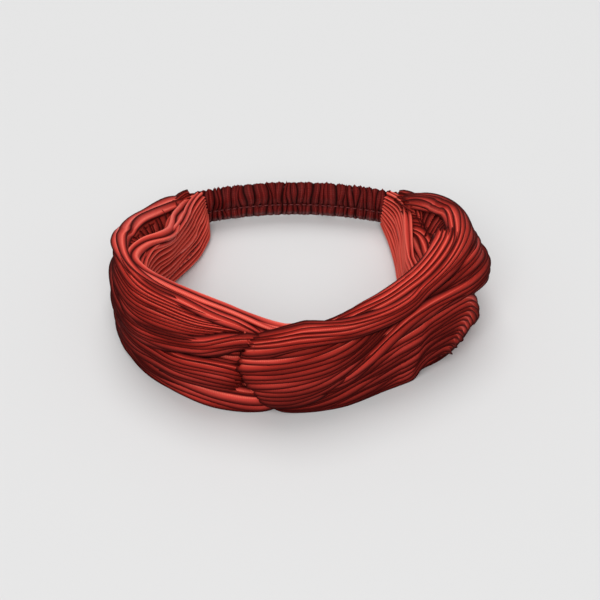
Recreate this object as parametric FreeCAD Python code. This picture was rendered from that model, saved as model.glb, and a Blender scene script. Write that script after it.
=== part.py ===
"""Twisted headband of pleated satin with a gathered elastic back. Millimetres, +Z up.

The band stands on its lower edge. The twist is at the front (-Y), the elastic at the back (+Y), and the
origin is at the middle of the footprint, on the surface that the band stands on.

Two strips of pleated satin, each folded in half to a loop, hook into each other at the front like two
links of a chain: the right loop wraps round from the front to the back, and the left loop passes over
and under that bend. Both ends of each loop are gathered together and sewn to one end of the back band,
a satin sleeve shirred onto a flat elastic, with one row of stitches all along it through the elastic.

The left loop turns about the upright middle of the knot as the elastic stretches and the ring opens.
"""

import FreeCAD
import Part
import math
import os
from FreeCAD import Vector

UP = Vector(0, 0, 1)
DOWN = Vector(0, 0, -1)

# The ring in plan, along the middle lines of its pieces.
RING_HALF_WIDTH = 84.0
RING_DEPTH = 134.0  # from the middle of the knot to the ends of the back band

# The back band, an arc of a circle that bows out behind its two ends.
BACK_HALF_SPAN = 57.0
BACK_BOW = 10.0
SLEEVE_BOTTOM = 2.0
SLEEVE_WALL = 0.6
SLEEVE_MARGIN = 1.5  # the sleeve stands this far above and below the elastic
UPPER_CHANNEL_THICKNESS = 6.6
LOWER_CHANNEL_THICKNESS = 5.6
SHIRRING_ROW_SHARE = 0.37  # the row of stitches lies this share of the sleeve's height above its hem
TAB_LENGTH = 4.0  # each end of the sleeve is sewn flat over this length

ELASTIC_WIDTH = 18.0
ELASTIC_THICKNESS = 1.2
ELASTIC_CLEARANCE = 0.15

# Thread: each lockstitch is a small closed loop of it.
THREAD = 0.5
STITCH_LENGTH = 2.6
STITCH_PITCH = 3.4
JOIN_STITCH_PITCH = 2.8
EDGE_SEAM_HEIGHT = 10.0
EDGE_STITCH_DEPTH = 1.6

# The knot, where one loop goes through the other.
KNOT_X = -13.0  # the upright middle of the left loop's bend, which the right loop wraps round
STRAND_RADIUS = 4.7  # the left loop's gathered strands
BEND_BOTTOM = 7.5
BEND_TOP = 37.0
KNOT_CLEARANCE = 0.3

JOIN_CLEARANCE = 0.3  # between a loop's end and the back band
JOIN_SWELL = 2.0  # a loop's gathered end is this much thicker than the sleeve
FOOT_SINK = 0.8  # the soft lower edge is pressed flat where it stands

# Each loop's shape from the back band to the knot. The first two values place its middle line: behind
# the origin, a share of the way from the back band's end out to the ring's side, and in front of it a
# share of the ring's half width; then a share of the depth behind or in front of the origin. The others
# are how far its top rises above the sleeve's, its thickness, and how far its top leans into the ring.
LEFT_STATIONS = [
    (0.07, 0.92, 3.0, 17.0, 0.0),
    (0.22, 0.83, 8.0, 22.0, 0.0),
    (0.67, 0.56, 15.0, 26.0, 0.0),
    (0.99, 0.21, 23.0, 24.0, 2.0),
    (1.00, -0.15, 28.0, 22.0, 5.0),
    (0.91, -0.56, 29.0, 16.0, 9.0),
    (0.68, -0.85, 27.0, 15.0, 11.0),
    (0.45, -0.97, 25.0, 14.0, 9.0),
]
LEFT_KNOT_STATION = (23.0, 12.0, 4.0)
RIGHT_STATIONS = [
    (0.10, 0.92, 5.0, 18.0, 0.0),
    (0.28, 0.83, 11.0, 25.0, 0.0),
    (0.61, 0.56, 18.0, 32.0, 0.0),
    (0.80, 0.21, 27.0, 33.0, 0.0),
    (0.96, -0.18, 31.0, 29.0, 2.0),
    (0.82, -0.54, 30.0, 21.0, 6.0),
    (0.60, -0.77, 26.0, 19.0, 7.0),
    (0.33, -0.93, 24.0, 19.0, 6.0),
    (0.06, -1.00, 22.0, 20.0, 3.0),
]
RIGHT_KNOT_STATION = (20.0, 18.0, 0.0)

# Values that follow from those above. The front and back of the footprint stand equally far from the
# origin: the front is the face of the right loop beside the knot, the back is that of the sleeve.
FRONT_THICKNESS = RIGHT_STATIONS[-1][3]
RING_BACK_Y = (RING_DEPTH + FRONT_THICKNESS / 2 - BACK_BOW - UPPER_CHANNEL_THICKNESS / 2) / 2
KNOT_Y = RING_BACK_Y - RING_DEPTH
BACK_RADIUS = (BACK_HALF_SPAN**2 + BACK_BOW**2) / (2 * BACK_BOW)
BACK_CENTRE_Y = RING_BACK_Y + BACK_BOW - BACK_RADIUS
BACK_HALF_ANGLE = math.degrees(math.asin(BACK_HALF_SPAN / BACK_RADIUS))
SLEEVE_TOP = SLEEVE_BOTTOM + ELASTIC_WIDTH + 2 * SLEEVE_MARGIN
SLEEVE_MIDDLE = (SLEEVE_BOTTOM + SLEEVE_TOP) / 2
SHIRRING_Z = SLEEVE_BOTTOM + SHIRRING_ROW_SHARE * (SLEEVE_TOP - SLEEVE_BOTTOM)
SLOT_THICKNESS = ELASTIC_THICKNESS + 2 * ELASTIC_CLEARANCE
SLOT_HEIGHT = ELASTIC_WIDTH + 2 * ELASTIC_CLEARANCE
PINCH_THICKNESS = SLOT_THICKNESS + 2 * SLEEVE_WALL
TAB_HEIGHT = SLOT_HEIGHT + 2 * SLEEVE_WALL
BEND_RADIUS = RIGHT_KNOT_STATION[1] / 2
HOLE_RADIUS = STRAND_RADIUS + KNOT_CLEARANCE


def angle_of(length):
    """The angle, in degrees, that a length covers along the back band's arc."""
    return math.degrees(length / BACK_RADIUS)


def back_point(angle, z=0.0):
    """A point on the back band's middle line, at an angle measured from its middle towards +X."""
    a = math.radians(angle)
    return Vector(BACK_RADIUS * math.sin(a), BACK_CENTRE_Y + BACK_RADIUS * math.cos(a), z)


def along_back(angle):
    """The direction of the back band's arc there, towards +X."""
    a = math.radians(angle)
    return Vector(math.cos(a), -math.sin(a), 0)


def swept(face, start, end):
    """A face that stands across the middle of the back band, swept round its arc between two angles."""
    axis = Vector(0, BACK_CENTRE_Y, 0)
    turned = face.copy()
    turned.rotate(axis, DOWN, start)
    return turned.revolve(axis, DOWN, end - start)


def stadium(low, high, thickness, across):
    """A closed outline: straight sides and round ends. low and high are the centres of its two ends."""
    r = thickness / 2
    up = (high - low).normalize()
    side = (across - up * across.dot(up)).normalize()
    a, b, c, d = low + side * r, high + side * r, high - side * r, low - side * r
    edges = [
        Part.LineSegment(a, b).toShape(),
        Part.Arc(b, high + up * r, c).toShape(),
        Part.LineSegment(c, d).toShape(),
        Part.Arc(d, low - up * r, a).toShape(),
    ]
    return Part.Wire(edges)


def channel(bottom, top, thickness, reach):
    """A round-edged length of the back band, out to the angle reach on each side."""
    low = back_point(0, bottom + thickness / 2)
    high = back_point(0, top - thickness / 2)
    return swept(Part.Face(stadium(low, high, thickness, Vector(0, 1, 0))), -reach, reach)


def strip(height, thickness, reach):
    """A square-edged length of the back band, out to the angle reach on each side."""
    low = back_point(0, SLEEVE_MIDDLE - height / 2) - Vector(0, thickness / 2, 0)
    high = low + UP * height
    out = Vector(0, thickness, 0)
    return swept(Part.Face(Part.makePolygon([low, low + out, high + out, high, low])), -reach, reach)


def block(centre, direction, length, depth, height):
    """A box by its centre, with its length along a level direction and its height along Z."""
    made = Part.makeBox(length, depth, height, Vector(-length / 2, -depth / 2, -height / 2))
    turn = math.degrees(math.atan2(direction.y, direction.x))
    made.rotate(Vector(0, 0, 0), UP, turn)
    made.translate(centre)
    return made


def elastic():
    """The flat elastic: a strip along the arc, as long as the sleeve."""
    return strip(ELASTIC_WIDTH, ELASTIC_THICKNESS, BACK_HALF_ANGLE)


def sleeve_body(inset, reach):
    """The sleeve's two channels and the neck between them, all taken in by inset, out to the angle reach."""
    bottom, top = SLEEVE_BOTTOM + inset, SLEEVE_TOP - inset
    neck = channel(bottom, top, PINCH_THICKNESS - 2 * inset, reach)
    upper = channel(SHIRRING_Z + THREAD + inset, top, UPPER_CHANNEL_THICKNESS - 2 * inset, reach)
    lower = channel(bottom, SHIRRING_Z - THREAD - inset, LOWER_CHANNEL_THICKNESS - 2 * inset, reach)
    return neck.fuse([upper, lower])


def sleeve():
    """The satin sleeve: two channels round the elastic, pinched between them, and sewn flat at its ends."""
    puffed = BACK_HALF_ANGLE - angle_of(TAB_LENGTH)
    made = sleeve_body(0.0, puffed).fuse(strip(TAB_HEIGHT, PINCH_THICKNESS, BACK_HALF_ANGLE))
    hollow = sleeve_body(SLEEVE_WALL, puffed - angle_of(SLEEVE_WALL))
    slot = strip(SLOT_HEIGHT, SLOT_THICKNESS, BACK_HALF_ANGLE + angle_of(SLEEVE_WALL))
    return made.cut([hollow, slot]).removeSplitter()


def stitch(centre, direction, depth, upright=False):
    """One lockstitch: a closed loop of thread, through a depth of cloth. It runs along or up."""
    length = STITCH_LENGTH
    size = (length, depth + THREAD, THREAD)
    hole = (length - 2 * THREAD, depth - THREAD, 2 * THREAD)
    if upright:
        size, hole = size[::-1], hole[::-1]
    return block(centre, direction, *size).cut(block(centre, direction, *hole))


def row_angles():
    """The angles of a row of stitches along the sleeve, clear of its ends."""
    reach = BACK_HALF_ANGLE - angle_of(TAB_LENGTH + STITCH_PITCH)
    count = int(2 * reach / angle_of(STITCH_PITCH))
    return [(i - count / 2) * angle_of(STITCH_PITCH) for i in range(count + 1)]


def shirring_row():
    """The row of stitches along the sleeve, through both its layers and the elastic."""
    made = [stitch(back_point(a, SHIRRING_Z), along_back(a), PINCH_THICKNESS) for a in row_angles()]
    return Part.makeCompound(made)


def sleeve_seam():
    """The seam that closes the sleeve to a tube: stitches inside its lower edge, half sunk in the satin."""
    z = SLEEVE_BOTTOM + SLEEVE_WALL
    made = [block(back_point(a, z), along_back(a), STITCH_LENGTH, THREAD, THREAD) for a in row_angles()]
    return Part.makeCompound(made)


def join_seam(side):
    """The upright row of stitches that holds one end of the sleeve, the elastic and the gathered loop."""
    a = side * (BACK_HALF_ANGLE - angle_of(TAB_LENGTH / 2))
    count = int((TAB_HEIGHT - STITCH_LENGTH) / JOIN_STITCH_PITCH)
    made = []
    for i in range(count + 1):
        z = SLEEVE_MIDDLE + (i - count / 2) * JOIN_STITCH_PITCH
        made.append(stitch(back_point(a, z), along_back(a), PINCH_THICKNESS, upright=True))
    return Part.makeCompound(made)


def ring_place(side, across, back):
    """A place on a loop's middle line, from the two shares that a station states."""
    if back > 0:
        x = BACK_HALF_SPAN + across * (RING_HALF_WIDTH - BACK_HALF_SPAN)
        return Vector(side * x, back * RING_BACK_Y, 0)
    return Vector(side * across * RING_HALF_WIDTH, -back * KNOT_Y, 0)


def loop_path(side, rows, knot_x, knot_row):
    """Every station of a loop, from the back band on: its place, foot, top, thickness and lean."""
    end_angle = side * BACK_HALF_ANGLE
    end = back_point(end_angle) + along_back(end_angle) * (side * JOIN_CLEARANCE)
    made = [(end, SLEEVE_BOTTOM, SLEEVE_TOP, UPPER_CHANNEL_THICKNESS + JOIN_SWELL, 0.0)]
    for across, back, rise, thickness, lean in rows:
        made.append((ring_place(side, across, back), -FOOT_SINK, SLEEVE_TOP + rise, thickness, lean))
    rise, thickness, lean = knot_row
    made.append((Vector(knot_x, KNOT_Y, 0), -FOOT_SINK, SLEEVE_TOP + rise, thickness, lean))
    return made


def headings(side, path):
    """The level direction of a loop's middle line at each station, from the back band towards the knot."""
    places = [station[0] for station in path]
    made = [along_back(side * BACK_HALF_ANGLE) * side]
    for before, after in zip(places, places[2:], strict=False):
        made.append((after - before).normalize())
    return made + [Vector(-side, 0, 0)]


def loop_wall(side, path):
    """A loop's wall, lofted through a round-ended section at each station and pressed flat at its foot."""
    wires = []
    for (place, foot, top, thickness, lean), way in zip(path, headings(side, path), strict=True):
        outward = UP.cross(way) * side
        low = place + UP * (foot + thickness / 2)
        high = place + UP * (top - thickness / 2) - outward * lean
        wires.append(stadium(low, high, thickness, outward))
    wall = Part.makeLoft(wires, True, False)
    below = Part.makeBox(1000, 1000, 100, Vector(-500, -500, -100))
    return wall.cut(below)


LEFT_PATH = loop_path(-1, LEFT_STATIONS, KNOT_X - BEND_RADIUS - KNOT_CLEARANCE, LEFT_KNOT_STATION)
RIGHT_PATH = loop_path(1, RIGHT_STATIONS, KNOT_X, RIGHT_KNOT_STATION)


def knot_box(x_low, x_high, half_depth, z_low, z_high):
    """A box centred on the knot from front to back."""
    corner = Vector(x_low, KNOT_Y - half_depth, z_low)
    return Part.makeBox(x_high - x_low, 2 * half_depth, z_high - z_low, corner)


def knot_post(radius, z_low, z_high):
    """An upright cylinder at the middle of the knot."""
    return Part.makeCylinder(radius, z_high - z_low, Vector(KNOT_X, KNOT_Y, z_low))


def left_loop():
    """The left loop: its wall, and the strands that pass over and under the right loop and meet inside it."""
    top = SLEEVE_TOP + LEFT_KNOT_STATION[0]
    start = LEFT_PATH[-1][0].x - STRAND_RADIUS
    over = knot_box(start, KNOT_X, STRAND_RADIUS, BEND_TOP + KNOT_CLEARANCE, top)
    under = knot_box(start, KNOT_X, STRAND_RADIUS, 0, BEND_BOTTOM - KNOT_CLEARANCE)
    inside = knot_post(STRAND_RADIUS, 0, top)
    return loop_wall(-1, LEFT_PATH).fuse([over, under, inside])


def right_loop():
    """The right loop: its wall and its bend, hollow where the left loop's strands lie in it."""
    bend = knot_post(BEND_RADIUS, BEND_BOTTOM, BEND_TOP)
    side = KNOT_X + HOLE_RADIUS
    far = KNOT_X - 2 * BEND_RADIUS
    above = knot_box(far, side, 2 * BEND_RADIUS, BEND_TOP, 2 * BEND_TOP)
    below = knot_box(far, side, 2 * BEND_RADIUS, -BEND_TOP, BEND_BOTTOM)
    hole = knot_post(HOLE_RADIUS, -BEND_TOP, 2 * BEND_TOP)
    return loop_wall(1, RIGHT_PATH).fuse(bend).cut([above, below, hole])


def edge_seam(side, path):
    """The row of stitches that closes a loop's long edges, along the side of its wall that faces the head."""
    line = []
    for (place, foot, top, thickness, lean), way in zip(path, headings(side, path), strict=True):
        outward = UP.cross(way) * side
        share = (EDGE_SEAM_HEIGHT - foot - thickness / 2) / (top - foot - thickness)
        inset = thickness / 2 + lean * min(max(share, 0.0), 1.0)
        line.append(place - outward * inset + UP * EDGE_SEAM_HEIGHT)
    curve = Part.BSplineCurve()
    curve.interpolate(line[3:-1])
    length = curve.length()
    count = int(length / STITCH_PITCH)
    made = []
    for i in range(count):
        at = curve.parameterAtDistance((i + 0.5) * length / count)
        way = curve.tangent(at)[0]
        made.append(stitch(curve.value(at), Vector(way.x, way.y, 0), EDGE_STITCH_DEPTH))
    return Part.makeCompound(made)


PARTS = {
    "left_loop": left_loop,
    "right_loop": right_loop,
    "left_edge_seam": lambda: edge_seam(-1, LEFT_PATH),
    "right_edge_seam": lambda: edge_seam(1, RIGHT_PATH),
    "back_sleeve": sleeve,
    "back_elastic": elastic,
    "shirring_row": shirring_row,
    "sleeve_seam": sleeve_seam,
    "left_join_seam": lambda: join_seam(-1),
    "right_join_seam": lambda: join_seam(1),
}


def main():
    os.makedirs("parts", exist_ok=True)
    for name, make in PARTS.items():
        shape = make()
        box = shape.optimalBoundingBox()
        print(
            f"{name}: valid {shape.isValid()}, solids {len(shape.Solids)}, {shape.Volume / 1000:.2f} cm3, "
            f"x {box.XMin:.1f}..{box.XMax:.1f}, y {box.YMin:.1f}..{box.YMax:.1f}, z {box.ZMin:.1f}..{box.ZMax:.1f}"
        )
        shape.exportStep(f"parts/{name}.step")


main()
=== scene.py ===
"""Twisted headband of pleated satin with a gathered elastic back, on a pale studio floor.

Lengths are in millimetres in the CAD's frame until Cloth.build makes the mesh in metres. The camera, the
materials and the studio are in metres. The cloth of each loop is
built from a tube, the loop's inner layers, and bundles of pleats laid on it. Places on a loop are given on
its wall: phi in degrees round the ring (0 at the front, 90 on the right, -90 on the left), v up and over
the wall (0 the outer foot, 1 the top, 2 the inner foot), and out, the distance proud of the wall.
"""
import math
import bpy
import numpy as np
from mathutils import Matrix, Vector


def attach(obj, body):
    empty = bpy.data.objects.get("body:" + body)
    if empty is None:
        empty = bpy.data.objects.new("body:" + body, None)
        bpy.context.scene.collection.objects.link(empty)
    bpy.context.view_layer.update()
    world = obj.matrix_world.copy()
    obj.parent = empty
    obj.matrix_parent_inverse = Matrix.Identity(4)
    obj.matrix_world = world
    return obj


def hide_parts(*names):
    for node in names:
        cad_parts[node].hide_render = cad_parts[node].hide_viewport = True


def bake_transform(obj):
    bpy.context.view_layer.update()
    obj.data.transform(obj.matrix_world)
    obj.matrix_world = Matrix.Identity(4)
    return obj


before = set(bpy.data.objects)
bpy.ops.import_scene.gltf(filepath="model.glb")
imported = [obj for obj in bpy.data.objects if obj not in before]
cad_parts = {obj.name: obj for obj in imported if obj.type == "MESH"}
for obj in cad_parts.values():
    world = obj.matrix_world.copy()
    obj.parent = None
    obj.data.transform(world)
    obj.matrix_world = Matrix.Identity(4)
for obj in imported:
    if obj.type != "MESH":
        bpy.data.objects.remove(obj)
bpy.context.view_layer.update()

# ---------------------------------------------------------------------------------------------- camera
CAMERA_TARGET = np.array((0.003, -0.01815, 0.020))
CAMERA_DISTANCE = 0.72
CAMERA_ELEVATION = math.radians(42)
camera_data = bpy.data.cameras.new("camera")
camera_data.lens = 85
camera_data.sensor_width = 36
camera = bpy.data.objects.new("camera", camera_data)
camera_way = np.array((0, -math.cos(CAMERA_ELEVATION), math.sin(CAMERA_ELEVATION)))
camera.location = CAMERA_TARGET + CAMERA_DISTANCE * camera_way
camera.rotation_euler = (math.radians(90) - CAMERA_ELEVATION, 0, 0)
bpy.context.collection.objects.link(camera)
bpy.context.scene.camera = camera

# ---------------------------------------------------------------------------------------------- walls
# Each row: phi, outer foot radius, top radius, top height, inner foot radius.
LEFT_WALL = np.array([
    (-139, 91.0, 85.0, 25.0, 78.0), (-125, 91.5, 82.0, 31.0, 71.0), (-113, 91.0, 81.0, 37.0, 71.0),
    (-102, 94.0, 82.0, 42.0, 72.0), (-87, 96.0, 82.0, 48.0, 74.0), (-75, 96.0, 79.0, 50.0, 74.0),
    (-60, 93.5, 72.0, 51.0, 72.0), (-47, 90.0, 66.0, 51.0, 70.0), (-33, 86.0, 63.0, 49.0, 66.0),
    (-20, 81.5, 62.5, 48.0, 63.0), (-8, 78.0, 64.0, 46.0, 61.0), (8, 76.5, 63.0, 45.0, 59.5),
    (26, 75.5, 62.0, 46.0, 58.0)], float)
RIGHT_WALL = np.array([
    (-18, 79.0, 64.0, 43.0, 61.0), (0, 77.6, 64.0, 45.0, 60.0), (13, 76.5, 63.0, 46.0, 59.0),
    (28, 75.5, 62.0, 48.0, 58.0), (39, 77.0, 62.5, 49.5, 59.0), (52, 82.0, 65.0, 51.5, 60.0),
    (61, 87.0, 68.0, 53.0, 62.0), (71, 92.0, 71.0, 54.0, 63.0), (82, 95.5, 74.0, 54.0, 63.0),
    (99, 93.0, 77.0, 49.0, 60.0), (113, 92.5, 78.0, 43.0, 61.0), (125, 92.5, 79.0, 36.0, 67.0),
    (139, 88.0, 84.0, 25.0, 78.0)], float)
WALL_SQUARENESS = 0.62    # 1 makes the section an ellipse, less makes it squarer
LEAST_WIDTH = 4           # the least half width that the section's direction out is worked out with


def smooth(keys_x, keys_y, x):
    """A smooth curve through the keys, at x."""
    slopes = np.gradient(keys_y, keys_x)
    i = np.clip(np.searchsorted(keys_x, x) - 1, 0, len(keys_x) - 2)
    h = keys_x[i + 1] - keys_x[i]
    t = (x - keys_x[i]) / h
    return ((2 * t**3 - 3 * t**2 + 1) * keys_y[i] + (t**3 - 2 * t**2 + t) * h * slopes[i]
            + (3 * t**2 - 2 * t**3) * keys_y[i + 1] + (t**3 - t**2) * h * slopes[i + 1])


def on_wall(wall, phi, v, out):
    """Points of a wall at phi, v and out."""
    phi, v, out = np.broadcast_arrays(np.asarray(phi, float), np.asarray(v, float), np.asarray(out, float))
    outer, top, height, inner = (smooth(wall[:, 0], wall[:, k], phi) for k in (1, 2, 3, 4))
    c, s = np.cos(np.pi / 2 * v), np.sin(np.pi / 2 * v)
    side = np.where(c >= 0, outer - top, top - inner)
    r = top + side * np.sign(c) * np.abs(c) ** WALL_SQUARENESS
    z = height * np.sign(s) * np.abs(s) ** WALL_SQUARENESS
    nr = np.sign(c) * np.abs(c) ** (2 - WALL_SQUARENESS) / np.maximum(np.abs(side), LEAST_WIDTH)
    nz = np.sign(s) * np.abs(s) ** (2 - WALL_SQUARENESS) / height
    length = np.hypot(nr, nz) + 1e-9
    r = r + out * nr / length
    z = z + out * nz / length
    f = np.radians(phi)
    return np.stack([r * np.sin(f), -r * np.cos(f), z], -1)


# ---------------------------------------------------------------------------------------------- pleats
CLOTH_PER_PLEAT = 6.0
SHALLOWEST_SLACK = 0.6    # square millimetres
DEEPEST_PLEAT = 2.2
CREST_AT = 0.625          # the crest's place across a pleat
MEAN_LEVEL = 0.55         # the part of a pleat's height that lies on the smooth surface
SAMPLES_PER_PLEAT = 8
GIRTH_SAMPLES = 400
STEP_ALONG = 1.75
TUBE_STEP = 3.0
UNEVEN = 0.3              # how much the pleats' heights vary
OPEN_SIDE = 0.35          # the share of its height that a pleat keeps at an open side
THINNEST_END = 0.12       # the share of its height that a tapered pleat keeps at its end
FLOOR_GAP = 0.1
FLOOR_EASE = 2.0          # the height under which the cloth turns in


def above_floor(z):
    """Heights eased so that none is under the floor: the lower edge turns in softly where it stands."""
    eased = FLOOR_EASE * np.exp(np.minimum(z, FLOOR_EASE) / FLOOR_EASE - 1)
    return FLOOR_GAP + np.where(z > FLOOR_EASE, z, eased)


def unit(a):
    return a / (np.linalg.norm(a, axis=-1, keepdims=True) + 1e-12)


def waves(random, count, t, lowest, highest):
    """Smooth noise about 0: count rows along t in millimetres, of wavelengths from lowest to highest."""
    total = np.zeros((count, len(t)))
    for _ in range(4):
        length = random.uniform(lowest, highest, (count, 1))
        start = random.uniform(0, 2 * np.pi, (count, 1))
        total += np.sin(2 * np.pi * t[None, :] / length + start) * random.uniform(0.3, 1.0, (count, 1))
    return total / 1.6


class Cloth:
    """A mesh that collects grids of points in millimetres. ridge is 0 in a valley and 1 on a crest; the satins
    paint shade and highlights by it.
    """

    def __init__(self):
        self.points, self.faces, self.uvs, self.ridge = [], [], [], []
        self.count = 0

    def add(self, points, uv, ridge, closed=False):
        n, m = points.shape[:2]
        index = self.count + np.arange(n * m).reshape(n, m)
        a, b = index[:-1], index[1:]
        if closed:
            quads = np.stack([a, b, np.roll(b, -1, 1), np.roll(a, -1, 1)], -1)
        else:
            quads = np.stack([a[:, :-1], b[:, :-1], b[:, 1:], a[:, 1:]], -1)
        self.points.append(points.reshape(-1, 3))
        self.uvs.append(uv.reshape(-1, 2))
        self.ridge.append(np.broadcast_to(ridge, (n, m)).reshape(-1))
        self.faces.append(quads.reshape(-1, 4))
        self.count += n * m

    def build(self, name):
        mesh = bpy.data.meshes.new(name)
        points = np.concatenate(self.points) / 1000
        faces = np.concatenate(self.faces)
        mesh.from_pydata(points.tolist(), [], faces.tolist())
        layer = mesh.uv_layers.new(name="cloth")
        uv = np.concatenate(self.uvs) / 1000
        layer.data.foreach_set("uv", uv[faces.reshape(-1)].astype(np.float32).reshape(-1))
        ridge = mesh.attributes.new("ridge", "FLOAT", "POINT")
        ridge.data.foreach_set("value", np.concatenate(self.ridge).astype(np.float32))
        mesh.shade_smooth()
        mesh.validate()
        obj = bpy.data.objects.new(name, mesh)
        bpy.context.collection.objects.link(obj)
        return obj


def pleated(cloth, place, pleats, seed, length, depth=1.0, taper=(0, 0), wander=0.2, closed=False,
            groove=0.7, step=STEP_ALONG):
    """Adds a pleated surface. place(t, s) gives its smooth points, t and s from 0 to 1; pleats run along t.

    length is in millimetres, and so are taper's two spans, in which the pleats thin out at the start and
    the end. wander is how far the pleats' edges stray, as a share of a pleat, depth scales the pleats'
    height, and groove the uneven depth of the valleys. step is the distance between points along.
    """
    random = np.random.default_rng(seed)
    along = max(12, int(length / step))
    t = np.linspace(0, 1, along)
    across = pleats * SAMPLES_PER_PLEAT + (0 if closed else 1)
    s = np.arange(across) / (pleats * SAMPLES_PER_PLEAT)
    phase = s * pleats
    edges = waves(random, pleats + 1, t * length, 35, 110) * wander
    if closed:
        edges[-1] = edges[0]
    else:
        edges[0] = edges[-1] = 0
    k = np.minimum(phase.astype(int), pleats - 1)
    part = phase - k
    shift = edges[k].T * (1 - part) + edges[k + 1].T * part
    share = np.clip(s[None, :] + shift / pleats, 0, 1)
    rows = np.broadcast_to(t[:, None], share.shape)

    # Shares across are shares of each section's own length, so that its pleats are equally wide.
    fine = np.linspace(0, 1, GIRTH_SAMPLES)
    grid = (along, GIRTH_SAMPLES)
    sections = place(np.broadcast_to(t[:, None], grid), np.broadcast_to(fine, grid))
    girth = np.zeros(grid)
    girth[:, 1:] = np.cumsum(np.linalg.norm(np.diff(sections, axis=1), axis=-1), axis=1)

    def across_at(part_of_girth):
        rows_at = [np.interp(part_of_girth[i] * girth[i, -1], girth[i], fine) for i in range(along)]
        return np.stack(rows_at)

    at = across_at(share)
    base = place(rows, at)
    # The smooth surface's directions come from small steps, not from neighbours, whose places wander.
    step_t, step_s = 0.6 / length, 0.002
    dt = place(np.clip(rows + step_t, 0, 1), at) - place(np.clip(rows - step_t, 0, 1), at)
    ds = place(rows, np.clip(at + step_s, 0, 1)) - place(rows, np.clip(at - step_s, 0, 1))
    pitch = girth[:, -1:] / pleats
    normal = unit(np.cross(unit(ds), unit(dt)))
    slack = np.sqrt(np.clip(CLOTH_PER_PLEAT**2 - pitch**2, SHALLOWEST_SLACK, None)) / 2
    height = np.clip(slack, 0, DEEPEST_PLEAT) * depth
    each = 1 + UNEVEN * waves(random, pleats, t * length, 30, 90)
    height = height * np.clip(each[k].T, 0.35, 1.6)
    if not closed:
        rim = np.minimum(phase, pleats - phase)
        height = height * (OPEN_SIDE + (1 - OPEN_SIDE) * np.clip(rim / 1.2, 0, 1))[None, :]
    fade = np.ones(along)
    for end, span in enumerate(taper):
        if span:
            distance = (t if end == 0 else 1 - t) * length
            fade = fade * np.clip(distance / span, THINNEST_END, 1)
    height = height * fade[:, None]
    # Pressed pleats: a wide flank below the crest and a narrow one above it. Some valleys are much deeper.
    flank = np.where(part < CREST_AT, part / CREST_AT, (1 - part) / (1 - CREST_AT))
    profile = (flank + np.sin(np.pi / 2 * flank)) / 2
    profile = np.broadcast_to(profile[None, :], height.shape)
    valleys = waves(random, pleats + 1, t * length, 60, 160) + random.normal(0, 0.6, (pleats + 1, 1))
    valleys = np.clip(valleys, -2, 0.4) * groove
    if closed:
        valleys[-1] = valleys[0]
    valley = valleys[k].T * (1 - part) + valleys[k + 1].T * part
    rise = height * (profile - MEAN_LEVEL) + valley * (1 - profile) * fade[:, None]
    points = base + normal * rise[..., None]
    points[..., 2] = above_floor(points[..., 2])
    uv = np.stack([t[:, None] * length + 0 * share, s[None, :] * pleats * CLOTH_PER_PLEAT + 0 * share], -1)
    cloth.add(points, uv, profile, closed)


def bundle(cloth, wall, low, high, pleats, seed, rise=3.0, roll=118, square=0.75, belly=None, **how):
    """A bundle of pleats between two guides, lists of the same length.

    With a wall, a guide's points are (phi, v, out), whose out is the bundle's crest. Without one they
    are (phi, radius, height), and the bundle bulges to the left of its way from low to high. Its section
    goes round roll degrees to each side of the crest. It is rise deep where it is widest, and a square
    less than 1 makes it squarer. belly swells the middle by degrees of phi, one for each point of a guide.
    """
    low, high = np.array(low, float), np.array(high, float)
    keys = np.linspace(0, 1, len(low))

    def guide(rows, t):
        return np.stack([smooth(keys, rows[:, k], t) for k in range(3)], -1)

    def flat(t, u):
        """The bundle's points before its section is rounded, at u across it from 0 to 1."""
        a, b = guide(low, t), guide(high, t)
        at = a + (b - a) * u[..., None]
        if wall is not None:
            return on_wall(wall, at[..., 0], at[..., 1], at[..., 2])
        f = np.radians(at[..., 0])
        return np.stack([at[..., 1] * np.sin(f), -at[..., 1] * np.cos(f), at[..., 2]], -1)

    # Steps along are even in millimetres.
    fine = np.linspace(0, 1, 300)
    line = flat(fine, 0 * fine + 0.5)
    run = np.concatenate([[0], np.cumsum(np.linalg.norm(np.diff(line, axis=0), axis=1))])

    def section(turn):
        sine, cosine = np.sin(turn), np.cos(turn)
        return np.sign(sine) * np.abs(sine) ** square, np.sign(cosine) * np.abs(cosine) ** square - 1

    def place(t, s):
        t = np.interp(t, run / run[-1], fine)
        u, sink = section(np.radians(roll) * (2 * s - 1))
        u = 0.5 + 0.5 * u
        if wall is not None:
            a, b = guide(low, t), guide(high, t)
            at = a + (b - a) * u[..., None]
            if belly is not None:
                at[..., 0] += np.interp(t, keys, belly) * np.sin(np.pi * u)
            return on_wall(wall, at[..., 0], at[..., 1], at[..., 2] + rise * sink)
        half = 0 * u + 0.5
        across = flat(t, half + 0.05) - flat(t, half - 0.05)
        along = flat(np.clip(t + 0.004, 0, 1), half) - flat(np.clip(t - 0.004, 0, 1), half)
        up = unit(np.cross(across, along))
        return flat(t, u) + up * (rise * sink)[..., None]

    pleated(cloth, place, pleats, seed, run[-1], **how)


MEAN_RING_RADIUS = 82


def base_tube(cloth, wall, first, last, pleats, seed, out, dent, slant, **how):
    """The inner layers of a loop: a tube of pleats that runs along the wall from first to last, in degrees.

    dent(phi, v) is how far it is pushed in, and slant how many degrees its top stops short of its foot.
    """
    def place(t, s):
        phi = first + (last - first) * t
        v = 2.16 * s - 0.08
        near_end = np.clip(np.abs(phi) / 120 - 0.2, 0, 1) ** 4
        phi = phi - np.sign(phi) * slant * near_end * np.exp(-((v - 1.2) / 0.55) ** 2)
        return on_wall(wall, phi, v, out - dent(phi, v))
    length = np.radians(abs(last - first)) * MEAN_RING_RADIUS
    pleated(cloth, place, pleats, seed, length, step=TUBE_STEP, **how)


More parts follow.
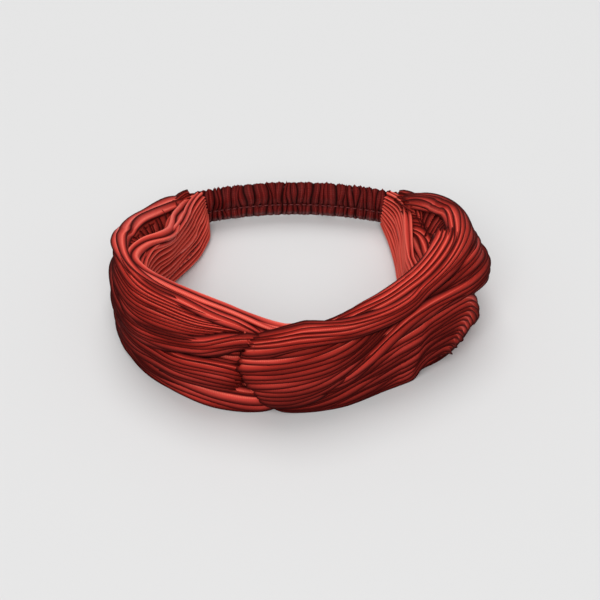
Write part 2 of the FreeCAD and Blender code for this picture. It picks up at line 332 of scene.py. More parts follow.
def left_hollow(phi, v):
    """How far the left tube is pushed in, for the curl's hollow and the knot. Less at the join."""
    curl = 15 * np.exp(-((phi + 106) / 17) ** 4) * np.exp(-((v - 1.25) / 0.34) ** 4)
    knot = 10 * np.clip((phi + 27) / 12, 0, 1) ** 2
    join = 4.5 * np.clip((-phi - 124) / 12, 0, 1) * np.clip((1.2 - v) / 0.3, 0, 1)
    return curl + knot - join


left = Cloth()
base_tube(left, LEFT_WALL, -141, -14, 44, 11, -4.5, left_hollow, 5, wander=0.35)
# The top edge: a roll from the join round the inside of the curl and along the top to the knot.
bundle(left, None,
       [(-141, 81.5, 17), (-135, 77, 22), (-127, 71, 27.5), (-118, 67, 32), (-110, 63, 35.5),
        (-102, 61.5, 38.5), (-94, 64, 41.5),
        (-87, 71.5, 44), (-78, 77, 46), (-70, 75.5, 48), (-60, 70, 49), (-47, 64, 49), (-33, 60, 47.5),
        (-20, 59.5, 46), (-8, 60, 43.5), (2, 60.5, 42), (9, 63, 39), (14, 67, 35)],
       [(-140, 86, 23.5), (-134, 82.5, 26.5), (-127, 77, 30.5), (-119, 73, 34.5), (-111, 69, 38),
        (-103, 67.5, 41), (-96, 71, 44.5),
        (-90, 78.5, 46.5), (-81, 84.5, 48.5), (-72, 82.5, 50), (-60, 76, 51), (-47, 70.5, 51),
        (-33, 67.5, 49.5),
        (-20, 66, 47.5), (-8, 66, 45), (2, 66.5, 43), (9, 69.5, 40), (14, 73, 36)],
       4, 21, rise=4.0, roll=135, taper=(20, 12))
# The inner face of the curl, which turns in to the back band at the join.
bundle(left, None,
       [(-143, 80.5, 3), (-140.5, 74, 2.5), (-137, 69, 2), (-131, 65.5, 1), (-125, 63.5, .6),
        (-116, 63.5, .6),
        (-106, 66, .6), (-98, 69, 1), (-90, 72, 3), (-81, 74.5, 5), (-72, 78, 8), (-64, 83, 11)],
       [(-142, 81.5, 24.5), (-138.5, 79.5, 26), (-134.5, 76.5, 27.5), (-129, 72, 29.5), (-124, 68, 31.5),
        (-116, 64, 35),
        (-106, 63, 37.5), (-98, 64, 40), (-90, 70, 41.5), (-81, 75, 42), (-72, 78, 41.5),
        (-64, 82, 40)],
       13, 27, rise=2.5, square=0.4, roll=100, depth=1.25, groove=1.2)
# Pleats that turn over the curl's rim and run down into its hollow.
bundle(left, None,
       [(-86, 86, 44), (-86.5, 83.5, 44.5), (-87.5, 81, 42), (-89, 79, 36), (-90, 78.5, 26)],
       [(-132, 85, 23), (-131, 83, 26), (-129, 80, 26), (-126.5, 77.5, 22.5), (-124, 76.5, 16)],
       17, 28, rise=1.0, square=0.5, roll=100, depth=0.9, groove=1.2)
# The outer roll of the curl, which goes on as the second roll along the front.
bundle(left, LEFT_WALL,
       [(-140, .3, -2.5), (-128, .38, 0), (-115, .42, 1), (-102, .46, 2), (-90, .62, 2), (-80, .76, 1),
        (-68, .81, .5), (-54, .81, .5), (-40, .80, .5), (-25, .79, 0), (-18, .78, -2), (-12, .77, -5),
        (-7, .76, -9)],
       [(-138, 1.0, -3), (-128, 1.1, 0), (-115, 1.1, 1), (-102, 1.08, 2), (-92, 1.0, 2), (-82, .95, 1),
        (-68, .93, .5), (-54, .93, .5), (-40, .95, .5), (-25, .95, 0), (-18, .93, -1.5), (-12, .91, -4),
        (-7, .9, -8)],
       6, 22, rise=4.5, square=.6, roll=125, taper=(0, 14))
# The main fan.
bundle(left, LEFT_WALL,
       [(-141, .02, -.5), (-122, .2, -1), (-104, .25, -1.5), (-88, .3, -3), (-74, .33, -2), (-62, .3, 0),
        (-50, .35, .5), (-38, .45, 0), (-28, .58, -1.5), (-20, .65, -3), (-14, .67, -5), (-9, .68, -9)],
       [(-141, .42, -.5), (-122, .55, -1), (-104, .6, -1), (-88, .8, -1.5), (-74, .86, 0),
        (-62, .86, .5), (-50, .85, .5), (-38, .84, 0), (-28, .83, -1.5), (-20, .8, -3), (-14, .78, -5),
        (-9, .77, -9)],
       19, 23, rise=3.5, square=0.5, taper=(0, 14), groove=1.0)
# The group that rises over the fan's end.
bundle(left, LEFT_WALL,
       [(-128, .06, -8), (-118, .07, -3), (-104, .08, -2), (-88, .1, -3), (-74, .12, -3), (-60, .16, -1),
        (-50, .22, .8), (-38, .31, 1), (-31, .35, 1.5), (-26, .4, 1), (-20, .49, -.5), (-15, .55, -2),
        (-10, .58, -6)],
       [(-128, .22, -8), (-118, .26, -3), (-104, .3, -2), (-88, .34, -3), (-74, .34, -2.5),
        (-60, .34, -.5), (-50, .38, .8), (-38, .47, 1), (-31, .56, 1.5), (-26, .64, 1), (-20, .69, 0),
        (-14, .71, -1.5), (-9, .71, -6)],
       11, 24, rise=4.0, square=0.6, taper=(0, 12), depth=1.2)
# The lower group, which turns down at its end.
bundle(left, LEFT_WALL,
       [(-116, -.02, -8), (-104, -.02, -4), (-90, -.02, -4), (-74, .0, -4), (-60, .02, -3),
        (-50, .05, -1.5), (-41, .08, 1.5), (-33, .085, 1.5), (-27.5, .07, .5), (-24, .04, -2.5),
        (-21.5, 0, -8), (-20, -.02, -15)],
       [(-116, .1, -8), (-104, .12, -4), (-90, .14, -4), (-74, .16, -4), (-60, .18, -3),
        (-50, .22, -1.5), (-40, .27, 1.5), (-31, .3, 1.5), (-24, .29, .5), (-19.5, .23, -3),
        (-17.5, .16, -8), (-17, .1, -15)],
       12, 25, rise=4.0, square=0.6, taper=(0, 10), depth=1.2)
# The bottom layer.
bundle(left, LEFT_WALL,
       [(-128, -.03, -8), (-112, -.03, -4), (-85, -.03, -4), (-60, -.03, -4), (-40, -.03, -3),
        (-25, -.03, -1.5), (-12, -.03, -1), (-6, -.03, -4)],
       [(-128, .05, -8), (-112, .05, -4), (-85, .06, -4), (-60, .07, -4), (-40, .07, -3),
        (-25, .06, -1.5), (-12, .05, -1), (-6, .04, -4)],
       6, 26, rise=2.5)

# Inside the ring, the left loop laps over the right one, as the lobe does in front.
bundle(left, LEFT_WALL,
       [(-90, 1.99, -4.5), (-75, 2.01, -3), (-60, 2.02, -1.5), (-45, 2.02, -.5), (-30, 2.02, .5),
        (-16, 2.02, 1), (-4, 2.02, 1), (5, 2.02, .5), (9, 2.01, -2.5), (8, 2.0, -6)],
       [(-90, 1.5, -7), (-75, 1.42, -3.5), (-60, 1.38, -1.5), (-45, 1.32, -.5), (-30, 1.27, .5),
        (-16, 1.24, 1), (-4, 1.24, 1), (4, 1.26, .5), (9, 1.3, -2.5), (8, 1.34, -6)],
       20, 29, rise=2.5, square=0.5, belly=(0, 0, 0, 0, 0, 0, 1, 3, 5, 5), taper=(14, 0),
       wander=0.35, groove=1.1)


def right_hollow(phi, v):
    """How far the right tube is pushed in, for the curl's pocket and the knot. Less at the join."""
    curl = 16 * np.exp(-((phi - 103) / 18) ** 4) * np.exp(-((v - 1.3) / 0.34) ** 4)
    join = 4 * np.clip((phi - 124) / 12, 0, 1) * np.clip((1.2 - v) / 0.3, 0, 1)
    knot = 7 * np.clip((10 - phi) / 14, 0, 1) ** 2
    return curl + knot - join


right = Cloth()
base_tube(right, RIGHT_WALL, -5, 141, 46, 12, -4.0, right_hollow, 5, wander=0.35)
# The rear top group, which ends in the pocket's scalloped edge.
bundle(right, RIGHT_WALL,
       [(8, .9, -4), (18, .84, -1.5), (30, .76, 0), (42, .74, 0), (55, .8, 0), (66, .85, 0),
        (76, .86, 0), (84, .85, 0), (89, .84, 0), (91, .83, -3), (90, .83, -6)],
       [(8, 1.15, -4), (18, 1.17, -1.5), (30, 1.2, 0), (42, 1.2, 0), (55, 1.2, 0), (66, 1.2, 0),
        (76, 1.2, 0), (84, 1.16, 0), (89, 1.12, 0), (91, 1.1, -3), (90, 1.1, -6)],
       8, 31, rise=3.0)
# The lobe and the sweep, which goes on as the outer roll of the curl.
bundle(right, RIGHT_WALL,
       [(-8, .36, -10), (-15, .38, -9), (-19, .42, -4), (-17.5, .46, 2), (-10, .52, 4.5), (0, .59, 4.5),
        (12, .6, 3.5), (25, .54, 2.5), (38, .51, 2), (48, .55, 2), (57, .64, 1), (68, .67, .5),
        (80, .6, 1),
        (92, .46, 2), (105, .36, 3), (118, .32, 2), (130, .3, 0), (141, .25, -1)],
       [(0, .8, -9), (-7, .84, -8), (-11, .87, -4), (-9.5, .91, 1), (-3, .96, 3), (5, 1.0, 3.5),
        (13, .96, 3), (25, .85, 2.5), (38, .78, 2), (48, .78, 2), (57, .84, 1), (68, .87, .5),
        (80, .93, 1),
        (92, .98, 2), (105, 1.0, 3), (118, 1.05, 2), (129, 1.1, 0), (138, 1.0, -2.5)],
       12, 32, rise=4.0, square=0.6, belly=(-1, -1.5, -2, -2, -1.5) + (0,) * 13, depth=1.15)
# The lobe's lower half.
bundle(right, RIGHT_WALL,
       [(4, .01, -9), (-4, .01, -8), (-10.5, .01, -4), (-10.5, .02, 1), (-5, .03, 3.5), (3, .04, 3.5),
        (12, .07, 2.5), (22, .15, 1.5), (32, .26, -.5), (42, .38, -3.5), (52, .45, -7)],
       [(-8, .42, -10), (-15, .44, -9), (-19, .48, -4.5), (-17.5, .52, 1), (-10, .58, 3), (0, .63, 3),
        (12, .65, 2), (22, .6, 0), (32, .57, -3), (42, .56, -6), (52, .58, -8.5)],
       16, 33, rise=4.0, square=0.6, belly=(-2, -3, -4, -4, -3, -1.5, 0, 0, 0, 0, 0), depth=1.15)
# The middle group.
bundle(right, RIGHT_WALL,
       [(-4, .02, -9), (8, .03, -3), (18, .08, 1.5), (28, .16, 2), (38, .28, 2), (47, .36, 2),
        (56, .38, 1.5), (64, .34, 1.5), (72, .29, 3), (82, .24, 4.5), (94, .18, 4.5), (106, .1, 2),
        (118, .06, -1), (127, .04, -7)],
       [(-4, .06, -9), (8, .1, -3), (18, .18, 1.5), (28, .27, 2), (38, .4, 2), (47, .5, 2),
        (56, .53, 1.5), (64, .51, 1.5), (72, .48, 3), (82, .44, 4.5), (94, .38, 4.5), (106, .28, 2),
        (118, .2, -1), (127, .16, -7)],
       8, 34, rise=4.0, depth=1.25)
# The group in the recess between them.
bundle(right, RIGHT_WALL,
       [(40, .44, -6), (50, .48, -5), (60, .5, -3), (70, .46, 0), (82, .4, 2.5), (95, .3, 3),
        (110, .22, 1), (125, .12, -.5), (141, .02, -1)],
       [(40, .54, -6), (50, .62, -5), (60, .68, -3), (70, .7, -.5), (82, .66, 2), (95, .54, 3),
        (110, .46, 1), (125, .4, -.5), (141, .35, -1)],
       8, 35, rise=3.0, depth=1.2)
# The lower group, which bends down under the pucker at its right end.
bundle(right, RIGHT_WALL,
       [(-14, -.03, -9), (-5, -.03, -2.5), (6, -.03, -1), (20, -.03, 0), (35, -.02, .5), (46, -.01, 1),
        (51, .02, 1.5), (54, .03, 2), (56.5, .03, 2), (58.5, .02, 2), (60, .01, 0), (60.5, .01, -9)],
       [(-14, .01, -9), (-5, .02, -2.5), (6, .04, -1), (20, .13, .5), (35, .26, 1.5), (48, .36, 2),
        (57, .39, 3), (64, .385, 3.5), (70, .33, 4), (74, .22, 4), (75, .1, 2.5), (73, .03, -9)],
       18, 36, rise=3.5, depth=1.25, square=0.6, roll=122, taper=(14, 9))
# The inner face of the curl, which turns in to the back band at the join.
bundle(right, None,
       [(60, 75, 10), (67, 68, 6), (76, 62.5, 2.5), (82, 60, 1), (88, 58.5, .6), (98, 57.5, .6),
        (108, 58.5, .6), (117, 61.5, .8), (126, 66, 1), (134, 71.5, 2), (139, 76, 2.5), (143, 80.5, 3)],
       [(60, 77, 32), (67, 70, 33), (74, 65, 33.5), (80, 62, 33), (87, 59.5, 32), (94, 58.5, 31),
        (104, 60.5, 30.5), (114, 65, 30), (124, 72, 29), (131, 77.5, 28), (137, 80.5, 26),
        (142, 81.5, 24.5)],
       13, 37, rise=2.5, square=0.4, roll=100, depth=1.25, groove=1.2)
# Pleats that turn over the curl's rim and run down into its pocket.
bundle(right, None,
       [(131, 84, 26), (130, 81.5, 28), (128, 79, 27), (126, 77, 22), (124, 75, 15)],
       [(93, 84, 46), (92.5, 81, 47), (92, 77, 44), (92, 72.5, 36), (93, 69, 24)],
       15, 38, rise=1.0, square=0.5, roll=100, depth=0.9, groove=1.2)

# ---------------------------------------------------------------------------------------------- back band
BACK_HALF_SPAN = 57.0
BACK_ENDS_Y = 65.35
BACK_BOW = 10.0
BACK_RADIUS = (BACK_HALF_SPAN**2 + BACK_BOW**2) / (2 * BACK_BOW)
BACK_HALF_ANGLE = math.asin(BACK_HALF_SPAN / BACK_RADIUS)
SLEEVE_LOW, SLEEVE_HIGH, ROW_HEIGHT = 0.8, 23.5, 9.8
SLEEVE_IN_JOIN = 5          # how far the sleeve runs into the loops at each end
GATHERS = 44
SAMPLES_PER_GATHER = 12
SAMPLES_AROUND = 132
FULL_ABOVE, FULL_BELOW = 4.3, 3.6    # how full the sleeve is above and below the row of stitches
PINCH_WIDTH = 1.5
SLEEVE_END = 9              # the length in which the sleeve thins out towards its ends
SLEEVE_UV = (60, 0.8)       # millimetres of cloth round the sleeve, and from one sample along to the next
ELASTIC_ALONG, ELASTIC_AROUND = 121, 96
ELASTIC_MIDDLE, ELASTIC_HALF_WIDTH, ELASTIC_SHORTER = 12.5, 9, 1
ELASTIC_HALF_THICKNESS, ELASTIC_CORD_DEPTH, ELASTIC_CORD_SPACING = 0.45, 0.12, 1.2


def on_back(x, out, z):
    """Points of the back band: x along its arc in millimetres from its middle, out behind it, z up."""
    turn = x / BACK_RADIUS
    r = BACK_RADIUS + out
    return np.stack([r * np.sin(turn), BACK_ENDS_Y + BACK_BOW - BACK_RADIUS + r * np.cos(turn), z + 0 * r], -1)


def sleeve():
    """The satin sleeve: folds that stand up round the elastic, pinched along the row of stitches."""
    random = np.random.default_rng(5)
    half = BACK_RADIUS * BACK_HALF_ANGLE + SLEEVE_IN_JOIN
    w = np.arange(SAMPLES_AROUND + 1) / SAMPLES_AROUND
    widths = random.uniform(0.55, 1.5, GATHERS)
    edges = np.concatenate([[0], np.cumsum(widths)]) / widths.sum() * 2 * half - half
    # The folds' edges stray along the band in whole waves round the section, so they meet at the seam.
    harmonics = np.stack([f(2 * np.pi * k * w) for k in (1, 2, 3, 5) for f in (np.sin, np.cos)])
    size = np.repeat([0.55, 0.5, 0.35, 0.2], 2)
    wander = (random.normal(0, 1, (GATHERS + 1, 8)) * size) @ harmonics
    wander[[0, -1]] = 0
    edges = edges[:, None] + wander * 0.8
    edges = np.sort(edges, axis=0)
    part = np.arange(GATHERS * SAMPLES_PER_GATHER + 1) / SAMPLES_PER_GATHER
    k = np.minimum(part.astype(int), GATHERS - 1)
    part = part - k
    x = edges[k] * (1 - part[:, None]) + edges[k + 1] * part[:, None]
    # The section: up the front and down the back.
    z = (SLEEVE_LOW + SLEEVE_HIGH) / 2 - (SLEEVE_HIGH - SLEEVE_LOW) / 2 * np.cos(2 * np.pi * w)
    upper = np.clip((z - ROW_HEIGHT) / (SLEEVE_HIGH - ROW_HEIGHT), 0, 1)
    lower = np.clip((ROW_HEIGHT - z) / (ROW_HEIGHT - SLEEVE_LOW), 0, 1)
    full = np.where(z > ROW_HEIGHT, FULL_ABOVE * np.sqrt(upper) * np.sqrt(1 - upper**2) * 1.15,
                    FULL_BELOW * np.sqrt(lower) * np.sqrt(np.clip(1 - lower**2, 0, 1)) * 1.15)
    face = np.where(w < 0.5, -1.0, 1.0)
    pinch = np.exp(-((z - ROW_HEIGHT) / PINCH_WIDTH) ** 2)
    deep = random.uniform(1.0, 2.3, (GATHERS, 1))
    deep = deep * (1 + 0.35 * (random.normal(0, 1, (GATHERS, 8)) @ harmonics) / 2)
    deep = np.clip(deep, 0.6, 2.8)[k]
    puff = random.uniform(0.75, 1.25, (GATHERS, 1))[k]
    lean = random.uniform(-1.2, 1.2, (GATHERS, 1))[k]
    # A gather's broad fold, with creases of its own.
    crease = random.uniform(0.1, 0.4, (GATHERS, 1))[k]
    fold = np.abs(np.sin(np.pi * part))[:, None] ** 0.9
    profile = (1 - crease) * fold + crease * np.abs(np.sin(3 * np.pi * part))[:, None]
    height = deep * (1 - 0.72 * pinch)[None, :]
    out = face * (1.0 + full * puff * 0.8 + height * (profile - 0.6))
    rim = np.sin(np.pi * upper / 2) ** 6 + np.sin(np.pi * lower / 2) ** 6
    out = out * (1 - 0.9 * rim)
    z = z[None, :] + rim * np.where(z > ROW_HEIGHT, 1, -0.9) * (profile - 0.5) * deep * 0.9
    x = x + lean * profile * (1 - pinch)
    ends = np.clip((half - np.abs(x)) / SLEEVE_END, 0.3, 1)
    points = on_back(x, out * ends, above_floor(z))
    cloth = Cloth()
    around, along = SLEEVE_UV
    uv = np.stack([w[None, :] * around + 0 * x, np.arange(x.shape[0])[:, None] * along + 0 * x], -1)
    # The strip's two long edges meet at the hem, where the stitches are.
    # The ridge values are lowered along the row of stitches, so that the satin paints shade into the pinch.
    cloth.add(points, uv, profile * (1 - 0.3 * pinch))
    return cloth


def elastic_band():
    """The flat elastic inside the sleeve, with its lengthwise cords."""
    x = np.linspace(-1, 1, ELASTIC_ALONG)[:, None] * (BACK_RADIUS * BACK_HALF_ANGLE - ELASTIC_SHORTER)
    w = np.arange(ELASTIC_AROUND) / ELASTIC_AROUND
    z = ELASTIC_MIDDLE - ELASTIC_HALF_WIDTH * np.cos(2 * np.pi * w)
    thick = ELASTIC_HALF_THICKNESS + ELASTIC_CORD_DEPTH * np.cos(2 * np.pi * z / ELASTIC_CORD_SPACING)
    out = np.where(w < 0.5, -1, 1) * thick * np.clip(4 * np.abs(np.sin(2 * np.pi * w)), 0, 1)
    cloth = Cloth()
    uv = np.stack([x + 0 * z, z[None, :] + 0 * x], -1)
    cloth.add(on_back(x, out[None, :], z[None, :] + 0 * x), uv, 1.0, closed=True)
    # Each cut end is closed between its two faces.
    j = np.arange(len(w) // 2 - 1)
    for ring in (0, (len(x) - 1) * len(w)):
        cloth.faces.append(ring + np.stack([j, j + 1, len(w) - 2 - j, len(w) - 1 - j], -1))
    return cloth


# ---------------------------------------------------------------------------------------------- stitches
STITCH_LENGTH = 2.6
THREAD_RADIUS = 0.25
ROW_HALF_LENGTH = BACK_HALF_SPAN - 5
ROW_OUT = 1.9               # how far the row's stitches lie from the band's middle surface
EDGE_SEAM_HEIGHT = 10


def stitches(path, count):
    """Stitches along path(t), which gives places and the directions out of the cloth."""
    cloth = Cloth()
    t = np.linspace(0, 1, count)
    places, outs = path(t)
    along = unit(np.gradient(places, axis=0))
    for place, out, way in zip(places, outs, along):
        q = np.linspace(-1, 1, 9)[:, None]
        # Each stitch lies over the cloth and dips into it at both ends.
        spine = place + way * q * STITCH_LENGTH / 2 + out * (0.28 - 0.75 * np.abs(q) ** 4)
        side = np.cross(way, out)
        a = 2 * np.pi * np.arange(8) / 8
        radius = THREAD_RADIUS * np.sqrt(np.clip(1.02 - q**8, 0.02, 1))
        ring = np.cos(a)[None, :, None] * side + np.sin(a)[None, :, None] * out
        points = spine[:, None, :] + ring * radius[:, :, None]
        uv = np.stack([q * STITCH_LENGTH / 2 + 0 * a, a * THREAD_RADIUS + 0 * q], -1)
        cloth.add(points, uv, 1.0, closed=True)
    return cloth


def back_row(height, out):
    """A row along the back band, out behind its middle surface."""
    def path(t):
        x = (2 * t - 1) * ROW_HALF_LENGTH
        places = on_back(x, out + 0 * x, height + 0 * x)
        outs = np.sign(out) * unit(on_back(x, 1 + 0 * x, 0 * x) - on_back(x, 0 * x, 0 * x))
        return places, outs
    return path


def hem_row(t):
    """The row along the sleeve's hem."""
    x = (2 * t - 1) * ROW_HALF_LENGTH
    return on_back(x, 0 * x, SLEEVE_LOW + 1.0 + 0 * x), np.broadcast_to([0.0, 0.0, -1.0], (len(t), 3))


def join_row(side):
    """The row up the back band's end, side -1 on the left and 1 on the right."""
    def path(t):
        x = side * (BACK_HALF_SPAN - 0.5) + 0 * t
        places = on_back(x, 1.4 + 0 * x, 4 + 17 * t)
        outs = unit(on_back(x, 1 + 0 * x, 0 * x) - on_back(x, 0 * x, 0 * x))
        return places, outs
    return path


def inner_row(rows):
    """The row on a loop's inner face, through rows of phi and radius."""
    rows = np.array(rows, float)

    def path(t):
        keys = np.linspace(0, 1, len(rows))
        f, r = np.radians(smooth(keys, rows[:, 0], t)), smooth(keys, rows[:, 1], t)
        outward = np.stack([-np.sin(f), np.cos(f), 0 * f], -1)
        return np.stack([r * np.sin(f), -r * np.cos(f), EDGE_SEAM_HEIGHT + 0 * r], -1), outward
    return path


LEFT_EDGE = [
    (-136, 71.4), (-131, 67.2), (-125, 64.6), (-116, 62.9), (-106, 64.6), (-98, 67.0), (-89, 71.0),
    (-78, 73.6), (-62, 72.8), (-46, 69.2), (-30, 64.4), (-16, 60.8)]
RIGHT_EDGE = [
    (20, 61), (40, 61.5), (60, 63.5), (74, 61.4), (84, 58.8), (94, 57.2), (104, 58.0), (114, 61.6),
    (124, 67.0), (132, 72.4), (137, 76.0)]
pieces = {
    "left_loop_cloth": left.build("left_loop_cloth"),
    "right_loop_cloth": right.build("right_loop_cloth"),
    "back_sleeve_cloth": sleeve().build("back_sleeve_cloth"),
    "elastic_band": elastic_band().build("elastic_band"),
    "shirring_row_front": stitches(back_row(ROW_HEIGHT, -ROW_OUT), 30).build("shirring_row_front"),
    "shirring_row_behind": stitches(back_row(ROW_HEIGHT, ROW_OUT), 30).build("shirring_row_behind"),
    "sleeve_hem_stitches": stitches(hem_row, 30).build("sleeve_hem_stitches"),
    "left_join_stitches": stitches(join_row(-1), 7).build("left_join_stitches"),
    "right_join_stitches": stitches(join_row(1), 7).build("right_join_stitches"),
    "left_edge_stitches": stitches(inner_row(LEFT_EDGE), 32).build("left_edge_stitches"),
    "right_edge_stitches": stitches(inner_row(RIGHT_EDGE), 37).build("right_edge_stitches"),
}

# ---------------------------------------------------------------------------------------------- materials
RIB_SPACING = 0.0009
WAVE_PERIOD = math.pi / 10    # the wave texture's period at scale 1


def material(name):
    made = bpy.data.materials.new(name)
    made.use_nodes = True
    nodes = made.node_tree.nodes
    return made, nodes, made.node_tree.links, nodes["Principled BSDF"]


def cloth_uv(nodes):
    """The cloth's own coordinates in metres: along the pleats, then across them."""
    uv = nodes.new("ShaderNodeUVMap")
    uv.uv_map = "cloth"
    return uv


def mixed(nodes, first=None, second=None):
    """A colour mix with its two colours, and 0, 6 and 7 as the inputs for factor, first and second."""
    mix = nodes.new("ShaderNodeMix")
    mix.data_type = "RGBA"
    for socket, colour in ((6, first), (7, second)):
        if colour:
            mix.inputs[socket].default_value = (*colour, 1)
    return mix


def satin(name, light, dark, deep, crest, roughness):
    """Ribbed satin, mottled between light and dark, with painted shade of colour deep in the pleats' valleys
    and a painted highlight of colour crest along their edges.
    """
    made, nodes, links, shader = material(name)
    uv = cloth_uv(nodes)
    noise = nodes.new("ShaderNodeTexNoise")
    noise.inputs["Scale"].default_value = 55
    noise.inputs["Detail"].default_value = 3
    geometry = nodes.new("ShaderNodeTexCoord")
    links.new(geometry.outputs["Object"], noise.inputs["Vector"])
    mix = mixed(nodes, dark, light)
    links.new(noise.outputs["Fac"], mix.inputs[0])
    ridge = nodes.new("ShaderNodeAttribute")
    ridge.attribute_name = "ridge"
    valley_shade_factor = nodes.new("ShaderNodeMapRange")
    valley_shade_factor.interpolation_type = "SMOOTHSTEP"
    valley_shade_factor.inputs["From Min"].default_value = 0.05
    valley_shade_factor.inputs["From Max"].default_value = 0.85
    links.new(ridge.outputs["Fac"], valley_shade_factor.inputs["Value"])
    rough = nodes.new("ShaderNodeMapRange")
    rough.inputs["From Min"].default_value = 0.2
    rough.inputs["From Max"].default_value = 0.8
    rough.inputs["To Min"].default_value = 0.85
    rough.inputs["To Max"].default_value = roughness
    links.new(ridge.outputs["Fac"], rough.inputs["Value"])
    links.new(rough.outputs["Result"], shader.inputs["Roughness"])
    # Painted shade: the colour darkens towards deep in the pleats' valleys, where ridge is low.
    groove = mixed(nodes, deep)
    links.new(valley_shade_factor.outputs["Result"], groove.inputs[0])
    links.new(mix.outputs[2], groove.inputs[7])
    # A painted highlight makes the crest of each pleat paler, and the ribs break it into dots.
    edge = nodes.new("ShaderNodeMapRange")
    edge.interpolation_type = "SMOOTHSTEP"
    edge.inputs["From Min"].default_value = 0.72
    edge.inputs["From Max"].default_value = 0.98
    links.new(ridge.outputs["Fac"], edge.inputs["Value"])
    dots = nodes.new("ShaderNodeMath")
    dots.operation = "MULTIPLY"
    dot_strength = nodes.new("ShaderNodeMapRange")
    dot_strength.inputs["To Min"].default_value = 0.35
    dot_strength.inputs["To Max"].default_value = 1.0
    links.new(edge.outputs["Result"], dots.inputs[0])
    links.new(dot_strength.outputs["Result"], dots.inputs[1])
    crest_highlight = mixed(nodes, None, crest)
    links.new(dots.outputs["Value"], crest_highlight.inputs[0])
    links.new(groove.outputs[2], crest_highlight.inputs[6])
    links.new(crest_highlight.outputs[2], shader.inputs["Base Color"])
    shader.inputs["Specular IOR Level"].default_value = 0.18
    shader.inputs["Specular Tint"].default_value = (1, 0.62, 0.58, 1)
    # The satin's fine cross ribs.
    rib = nodes.new("ShaderNodeTexWave")
    rib.wave_type = "BANDS"
    rib.bands_direction = "X"
    rib.inputs["Scale"].default_value = WAVE_PERIOD / RIB_SPACING
    rib.inputs["Distortion"].default_value = 0.8
    rib.inputs["Detail"].default_value = 1
    rib.inputs["Detail Scale"].default_value = 1.0
    links.new(uv.outputs["UV"], rib.inputs["Vector"])
    links.new(rib.outputs["Fac"], dot_strength.inputs["Value"])
    bump = nodes.new("ShaderNodeBump")
    bump.inputs["Strength"].default_value = 0.5
    bump.inputs["Distance"].default_value = 0.0002
    links.new(rib.outputs["Fac"], bump.inputs["Height"])
    links.new(bump.outputs["Normal"], shader.inputs["Normal"])
    return made


def thread_or_elastic(name, colour, other, roughness, scale):
    """A twisted or knitted surface, in slanting bands of two colours."""
    made, nodes, links, shader = material(name)
    uv = cloth_uv(nodes)
    wave = nodes.new("ShaderNodeTexWave")
    wave.wave_type = "BANDS"
    wave.bands_direction = "DIAGONAL"
    wave.inputs["Scale"].default_value = scale
    links.new(uv.outputs["UV"], wave.inputs["Vector"])
    mix = mixed(nodes, colour, other)
    links.new(wave.outputs["Fac"], mix.inputs[0])
    links.new(mix.outputs[2], shader.inputs["Base Color"])
    bump = nodes.new("ShaderNodeBump")
    bump.inputs["Strength"].default_value = 0.6
    bump.inputs["Distance"].default_value = 0.0001
    links.new(wave.outputs["Fac"], bump.inputs["Height"])
    links.new(bump.outputs["Normal"], shader.inputs["Normal"])
    shader.inputs["Roughness"].default_value = roughness
    return made


# For each satin: light and dark mottled colours, then deep, painted shade for the pleats' valleys, then crest,
# a painted highlight for their crests.
pleat_satin = satin("pleated_satin", (0.72, 0.066, 0.046), (0.50, 0.036, 0.025), (0.045, 0.001, 0.001),
                    (0.90, 0.160, 0.110), 0.34)
sleeve_satin = satin("sleeve_satin", (0.135, 0.006, 0.005), (0.08, 0.003, 0.003), (0.01, 0.0002, 0.0002),
                     (0.20, 0.014, 0.011), 0.40)
elastic = thread_or_elastic("elastic", (0.11, 0.012, 0.012), (0.07, 0.006, 0.006), 0.8, 160)
thread = thread_or_elastic("thread", (0.17, 0.016, 0.015), (0.10, 0.008, 0.008), 0.6, 320)
SLOTS = {
    "left_loop_cloth": ("pleated_satin", pleat_satin), "right_loop_cloth": ("pleated_satin", pleat_satin),
    "back_sleeve_cloth": ("sleeve_satin", sleeve_satin), "elastic_band": ("elastic", elastic),
}
for name, piece in pieces.items():
    slot, made = SLOTS.get(name, ("thread", thread))
    piece.data.materials.append(made)

# ---------------------------------------------------------------------------------------------- studio
FLOOR_RADIUS = 200.0
FLOOR_COLOUR = (0.645, 0.645, 0.645, 1)
WORLD_STRENGTH = 0.36


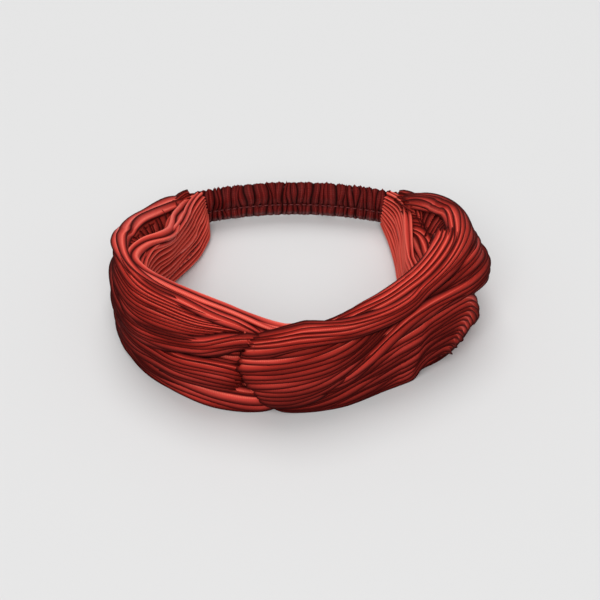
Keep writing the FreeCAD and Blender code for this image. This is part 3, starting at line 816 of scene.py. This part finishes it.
def plain_floor():
    bpy.ops.mesh.primitive_circle_add(vertices=96, radius=FLOOR_RADIUS, fill_type="NGON", location=(0, 0, 0))
    floor = bpy.context.object
    floor.name = "floor"
    made, nodes, links, shader = material("floor")
    shader.inputs["Base Color"].default_value = FLOOR_COLOUR
    shader.inputs["Roughness"].default_value = 0.6
    floor.data.materials.append(made)


def soft_sun(name, direction, angle, strength):
    """A broad light from far off, so that the floor is evenly bright.

    direction is where it comes from, angle its breadth in degrees, and strength its power per area.
    """
    data = bpy.data.lights.new(name, "SUN")
    data.angle = math.radians(angle)
    data.energy = strength
    light = bpy.data.objects.new(name, data)
    light.rotation_euler = Vector(direction).to_track_quat("Z", "Y").to_euler()
    bpy.context.collection.objects.link(light)


plain_floor()
world = bpy.data.worlds.new("studio")
world.use_nodes = True
background = world.node_tree.nodes["Background"]
background.inputs["Color"].default_value = (1, 1, 1, 1)
background.inputs["Strength"].default_value = WORLD_STRENGTH
bpy.context.scene.world = world
soft_sun("key", (-0.05, 0.5, 1.2), 40, 1.2)
soft_sun("fill", (-0.12, -0.85, 1.0), 50, 2.1)
bpy.context.scene.view_settings.view_transform = "Standard"

# ---------------------------------------------------------------------------------------------- frame
RIDES = {
    # piece: how it moves, and the CAD nodes that it stands for
    "left_loop_cloth": ("left", ["left_loop"]),
    "left_edge_stitches": ("left", ["left_edge_seam"]),
    "right_loop_cloth": ("right", ["right_loop"]),
    "right_edge_stitches": ("right", ["right_edge_seam"]),
    "back_sleeve_cloth": ("back", ["back_sleeve"]),
    "elastic_band": ("back", ["back_elastic"]),
    "shirring_row_front": ("back", ["shirring_row"]),
    "shirring_row_behind": ("back", []),
    "sleeve_hem_stitches": ("back", ["sleeve_seam"]),
    "left_join_stitches": ("back", ["left_join_seam"]),
    "right_join_stitches": ("back", ["right_join_seam"]),
}
for name, (way, nodes) in RIDES.items():
    piece = pieces[name]
    if way == "right":
        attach(piece, "right_side")
    elif way == "left":
        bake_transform(piece)
    else:
        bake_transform(piece)
    if nodes:
        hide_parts(*nodes)
